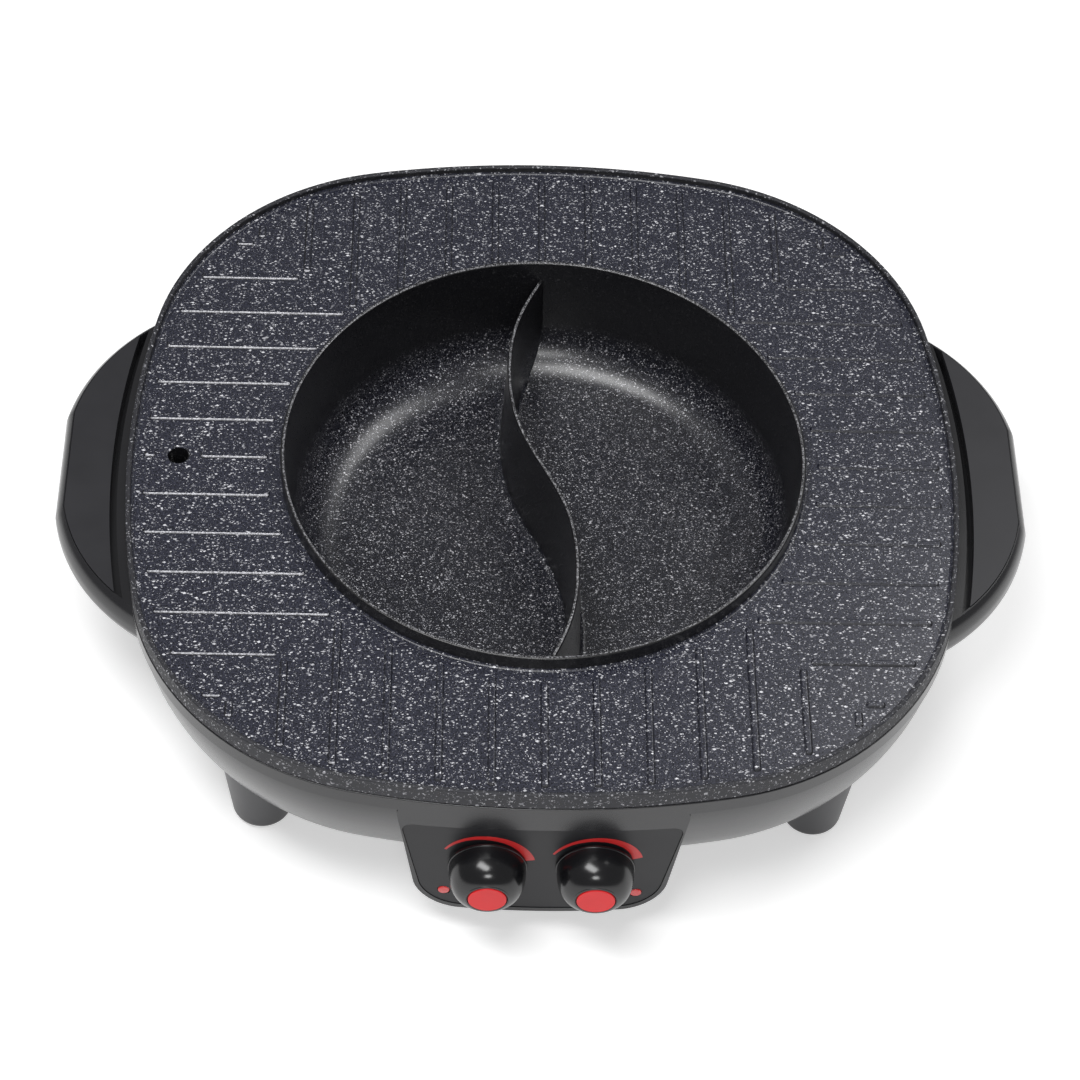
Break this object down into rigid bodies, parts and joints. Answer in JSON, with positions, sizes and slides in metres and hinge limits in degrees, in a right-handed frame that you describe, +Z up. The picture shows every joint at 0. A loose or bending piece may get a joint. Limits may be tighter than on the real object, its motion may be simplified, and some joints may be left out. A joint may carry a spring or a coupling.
{
  "type": "electric hot pot and grill cooker",
  "caption": "Countertop cooker: a grill plate with raised strips round a round pot well split by an S-shaped divider, on a footed base with side handles and knobs.",
  "frame": {"origin": "middle of the footprint (feet to knob fronts, ear to ear) on the table plane", "axes": "+Z up; -Y is the front, where the two knobs are; +X is to the right of someone who uses the knobs"},
  "size_m": [0.4888, 0.4426, 0.1185],
  "materials": {
    "non_stick_casting": "dark non-stick coating with fine pale speckles",
    "gloss_black_plastic": "glossy",
    "matt_black_plastic": "satin",
    "red_cap_plastic": "satin red",
    "red_lens": "clear red",
    "plated_steel": "plated",
    "element_sheath": "heat-darkened sheath",
    "white_ceramic": "unglazed"
  },
  "bodies": {
    "base": {"base_housing": "gloss_black_plastic", "bottom_cover": "matt_black_plastic", "bottom_cover_screw_1": "plated_steel", "bottom_cover_screw_2": "plated_steel", "bottom_cover_screw_3": "plated_steel", "bottom_cover_screw_4": "plated_steel", "control_face_plate": "matt_black_plastic", "foot_back_left": "matt_black_plastic", "foot_back_right": "matt_black_plastic", "foot_front_left": "matt_black_plastic", "foot_front_right": "matt_black_plastic", "foot_screw_1": "plated_steel", "foot_screw_2": "plated_steel", "foot_screw_3": "plated_steel", "foot_screw_4": "plated_steel", "grease_tube": "plated_steel", "grill_element_clip_1": "plated_steel", "grill_element_clip_2": "plated_steel", "grill_element_clip_3": "plated_steel", "grill_element_clip_4": "plated_steel", "grill_heating_element": "element_sheath", "handle_cover_left": "matt_black_plastic", "handle_cover_right": "matt_black_plastic", "handle_screw_1": "plated_steel", "handle_screw_2": "plated_steel", "heat_reflector": "plated_steel", "indicator_lamp_grill": "white_ceramic", "indicator_lamp_pot": "white_ceramic", "indicator_lens_grill": "red_lens", "indicator_lens_pot": "red_lens", "inlet_pin_1": "plated_steel", "inlet_pin_2": "plated_steel", "inlet_pin_3": "plated_steel", "pot_element_clip_1": "plated_steel", "pot_element_clip_2": "plated_steel", "pot_element_clip_3": "plated_steel", "pot_element_clip_4": "plated_steel", "pot_heating_element": "element_sheath", "power_inlet": "matt_black_plastic", "reflector_standoff_1": "white_ceramic", "reflector_standoff_2": "white_ceramic", "reflector_standoff_3": "white_ceramic", "reflector_standoff_4": "white_ceramic", "terminal_block": "white_ceramic", "thermal_fuse": "plated_steel", "thermostat_grill": "white_ceramic", "thermostat_nut_grill": "plated_steel", "thermostat_nut_pot": "plated_steel", "thermostat_pot": "white_ceramic", "tray_rail_back": "matt_black_plastic", "tray_rail_front": "matt_black_plastic"},
    "pan": {"grill_pan": "non_stick_casting"},
    "tray": {"drip_tray": "matt_black_plastic"},
    "pot_control": {"knob_pot": "gloss_black_plastic", "knob_cap_pot": "red_cap_plastic", "thermostat_shaft_pot": "plated_steel"},
    "grill_control": {"knob_grill": "gloss_black_plastic", "knob_cap_grill": "red_cap_plastic", "thermostat_shaft_grill": "plated_steel"}
  },
  "joints": [
    {"name": "knob_pot_turn", "type": "hinge", "parent": "base", "child": "pot_control", "pos_m": [-0.0258, -0.2019, 0.057], "axis": [0, 1, 0], "range_deg": [0, 170]},
    {"name": "knob_grill_turn", "type": "hinge", "parent": "base", "child": "grill_control", "pos_m": [0.0258, -0.2019, 0.057], "axis": [0, 1, 0], "range_deg": [0, 170]},
    {"name": "pan_lift", "type": "slide", "parent": "base", "child": "pan", "axis": [0, 0, 1], "range_m": [0, 0.12]},
    {"name": "tray_slide", "type": "slide", "parent": "base", "child": "tray", "axis": [-1, 0, 0], "range_m": [0, 0.055]}
  ]
}
